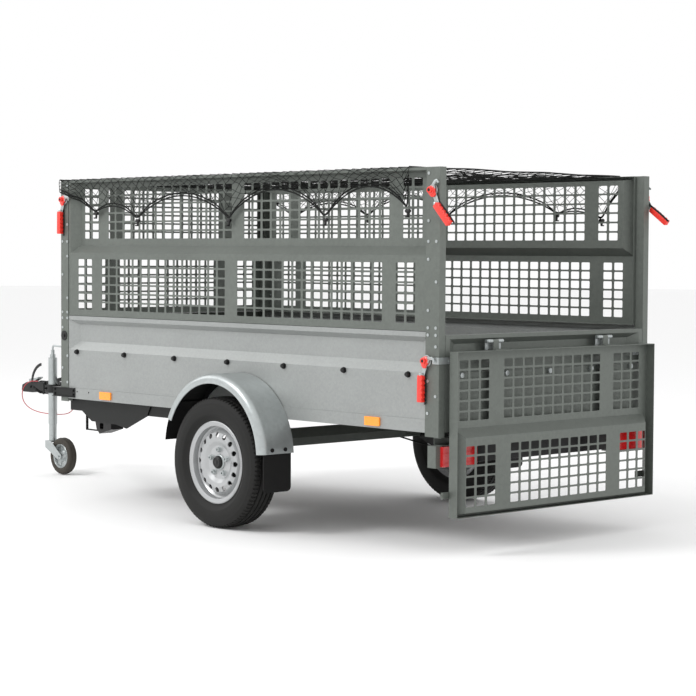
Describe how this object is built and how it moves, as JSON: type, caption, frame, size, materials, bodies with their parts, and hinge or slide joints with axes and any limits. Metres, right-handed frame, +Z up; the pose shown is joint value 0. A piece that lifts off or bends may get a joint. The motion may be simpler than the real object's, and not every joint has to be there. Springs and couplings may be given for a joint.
{
  "type": "livestock trailer",
  "caption": "Single-axle livestock trailer with pressed steel box, perforated mesh sides, folding mesh gate, lever latches, cargo net, overrun coupling and jockey wheel.",
  "frame": {"origin": "on the ground, at the centre of the whole trailer's footprint box", "axes": "+X towards the rear, -Y the trailer's left side, +Z up"},
  "size_m": [3.9875, 1.69, 1.565],
  "materials": {
    "galvanised_light": "hot-dip galvanised sheet, light satin",
    "galvanised_mid": "aged galvanised sheet, mid grey",
    "zinc_bright": "bright zinc",
    "black_steel": "black coated steel",
    "plywood": "phenolic film faced plywood",
    "tyre_rubber": "black tyre rubber",
    "black_rubber": "black rubber",
    "rim_silver": "silver painted steel",
    "cast_black": "black painted casting",
    "black_plastic": "black plastic",
    "latch_red": "red plastic grip on a zinc lever",
    "amber_lens": "amber reflector",
    "red_lens": "red lamp lens",
    "cable_red": "red plastic-coated cable",
    "net_black": "black polypropylene net",
    "jockey_tyre": "grey brown solid rubber on a pressed rim"
  },
  "bodies": {
    "chassis": {"floor_board": "plywood", "sill_rails": "galvanised_light", "cross_members": "galvanised_mid", "side_wall_left": "galvanised_light", "side_wall_right": "galvanised_light", "front_wall": "galvanised_mid", "mesh_side_left": "galvanised_mid", "mesh_side_right": "galvanised_mid", "mesh_front": "galvanised_mid", "post_rear_left": "galvanised_mid", "post_rear_right": "galvanised_mid", "post_front_left": "galvanised_mid", "post_front_right": "galvanised_mid", "frame_bolts": "zinc_bright", "cover_buttons": "black_plastic", "side_reflectors": "amber_lens", "drawbar_left": "black_steel", "drawbar_right": "black_steel", "chassis_brackets": "black_steel", "wheel_chock": "black_plastic", "axle_beam": "galvanised_mid", "mudguards": "zinc_bright", "mud_flaps": "black_rubber", "lamp_carrier": "galvanised_mid", "light_bar": "black_plastic", "lamp_lenses": "red_lens", "latch_plates": "black_plastic", "overrun_housing": "cast_black", "jockey_clamp": "cast_black", "brake_rod": "black_steel", "breakaway_cable": "cable_red", "cargo_net": "net_black"},
    "arm_left": {"swing_arm_left": "black_steel"},
    "arm_right": {"swing_arm_right": "black_steel"},
    "wheel_left": {"brake_drum_left": "cast_black", "wheel_rim_left": "rim_silver", "tyre_left": "tyre_rubber"},
    "wheel_right": {"brake_drum_right": "cast_black", "wheel_rim_right": "rim_silver", "tyre_right": "tyre_rubber"},
    "tailboard": {"tailboard": "galvanised_mid", "tailboard_fittings": "zinc_bright"},
    "gate_pins": {"gate_hinge_pins": "zinc_bright"},
    "gate": {"mesh_gate": "galvanised_mid", "gate_fittings": "galvanised_mid"},
    "latch_low_left": {"latch_low_left": "latch_red"},
    "latch_low_right": {"latch_low_right": "latch_red"},
    "latch_up_left": {"latch_up_left": "latch_red"},
    "latch_up_right": {"latch_up_right": "latch_red"},
    "latch_front_left": {"latch_front_left": "latch_red"},
    "latch_front_right": {"latch_front_right": "latch_red"},
    "draw_tube": {"coupling_head": "cast_black", "bellows": "black_rubber"},
    "coupling_handle": {"coupling_handle": "zinc_bright"},
    "handbrake": {"handbrake_lever": "black_steel"},
    "jockey_outer": {"jockey_outer_tube": "zinc_bright"},
    "jockey_crank": {"jockey_crank": "zinc_bright"},
    "jockey_inner": {"jockey_inner_tube": "zinc_bright"},
    "jockey_fork": {"jockey_fork": "zinc_bright"},
    "jockey_wheel": {"jockey_wheel": "jockey_tyre"}
  },
  "joints": [
    {"name": "suspension_left", "type": "hinge", "parent": "chassis", "child": "arm_left", "pos_m": [0.53029, -0.598, 0.35662], "axis": [0, 1, 0], "range_deg": [-12, 8], "stiffness_Nm_per_rad": 4000, "springref_deg": 4.01},
    {"name": "wheel_spin_left", "type": "hinge", "parent": "arm_left", "child": "wheel_left", "pos_m": [0.67531, -0.7585, 0.289], "axis": [0, 1, 0], "continuous": true},
    {"name": "suspension_right", "type": "hinge", "parent": "chassis", "child": "arm_right", "pos_m": [0.53029, 0.598, 0.35662], "axis": [0, 1, 0], "range_deg": [-12, 8], "stiffness_Nm_per_rad": 4000, "springref_deg": 4.01},
    {"name": "wheel_spin_right", "type": "hinge", "parent": "arm_right", "child": "wheel_right", "pos_m": [0.67531, 0.7585, 0.289], "axis": [0, 1, 0], "continuous": true},
    {"name": "tailboard_drop", "type": "hinge", "parent": "chassis", "child": "tailboard", "pos_m": [1.8713, 0, 0.507], "axis": [0, 1, 0], "range_deg": [0, 45]},
    {"name": "gate_plumb", "type": "hinge", "parent": "tailboard", "child": "gate_pins", "pos_m": [1.9058, 0, 0.856], "axis": [0, 1, 0], "range_deg": [-45, 0]},
    {"name": "gate_fold", "type": "hinge", "parent": "gate_pins", "child": "gate", "pos_m": [1.9058, 0, 0.856], "axis": [0, 1, 0], "range_deg": [-180, 0]},
    {"name": "latch_low_left_swing", "type": "hinge", "parent": "chassis", "child": "latch_low_left", "pos_m": [1.8293, 0, 0.782], "axis": [0, -1, 0], "range_deg": [0, 60]},
    {"name": "latch_low_right_swing", "type": "hinge", "parent": "chassis", "child": "latch_low_right", "pos_m": [1.8293, 0, 0.782], "axis": [0, -1, 0], "range_deg": [0, 60]},
    {"name": "latch_up_left_swing", "type": "hinge", "parent": "chassis", "child": "latch_up_left", "pos_m": [1.8593, 0, 1.467], "axis": [0, -1, 0], "range_deg": [-44, 16]},
    {"name": "latch_up_right_swing", "type": "hinge", "parent": "chassis", "child": "latch_up_right", "pos_m": [1.8593, 0, 1.467], "axis": [0, -1, 0], "range_deg": [-55, 5]},
    {"name": "latch_front_left_swing", "type": "hinge", "parent": "chassis", "child": "latch_front_left", "pos_m": [-0.6727, 0, 1.467], "axis": [0, 1, 0], "range_deg": [0, 60]},
    {"name": "latch_front_right_swing", "type": "hinge", "parent": "chassis", "child": "latch_front_right", "pos_m": [-0.6727, 0, 1.467], "axis": [0, 1, 0], "range_deg": [0, 60]},
    {"name": "overrun_slide", "type": "slide", "parent": "chassis", "child": "draw_tube", "axis": [1, 0, 0], "range_m": [0, 0.06], "deforming": ["bellows"]},
    {"name": "coupling_handle_lift", "type": "hinge", "parent": "draw_tube", "child": "coupling_handle", "pos_m": [-1.93569, 0, 0.489], "axis": [0, -1, 0], "range_deg": [0, 45]},
    {"name": "handbrake_pull", "type": "hinge", "parent": "chassis", "child": "handbrake", "pos_m": [-1.75469, 0, 0.478], "axis": [0, -1, 0], "range_deg": [0, 75]},
    {"name": "jockey_clamp_slide", "type": "slide", "parent": "chassis", "child": "jockey_outer", "axis": [0, 0, 1], "range_m": [-0.1, 0.12]},
    {"name": "jockey_crank_turn", "type": "hinge", "parent": "jockey_outer", "child": "jockey_crank", "pos_m": [-1.6117, -0.085, 0.65], "axis": [0, 0, 1], "range_deg": [-9060, 5160]},
    {"name": "jockey_lift", "type": "slide", "parent": "jockey_outer", "child": "jockey_inner", "axis": [0, 0, 1], "range_m": [-0.15, 0.085]},
    {"name": "jockey_swivel", "type": "hinge", "parent": "jockey_inner", "child": "jockey_fork", "pos_m": [-1.6117, -0.085, 0.178], "axis": [0, 0, 1], "continuous": true},
    {"name": "jockey_wheel_spin", "type": "hinge", "parent": "jockey_fork", "child": "jockey_wheel", "pos_m": [-1.5117, -0.085, 0.1], "axis": [0, 1, 0], "continuous": true}
  ],
  "couplings": [
    {"joint": "gate_plumb", "follows": "tailboard_drop", "ratio": -1},
    {"joint": "jockey_crank_turn", "follows": "jockey_lift", "rad_per_m": 1047.2}
  ]
}
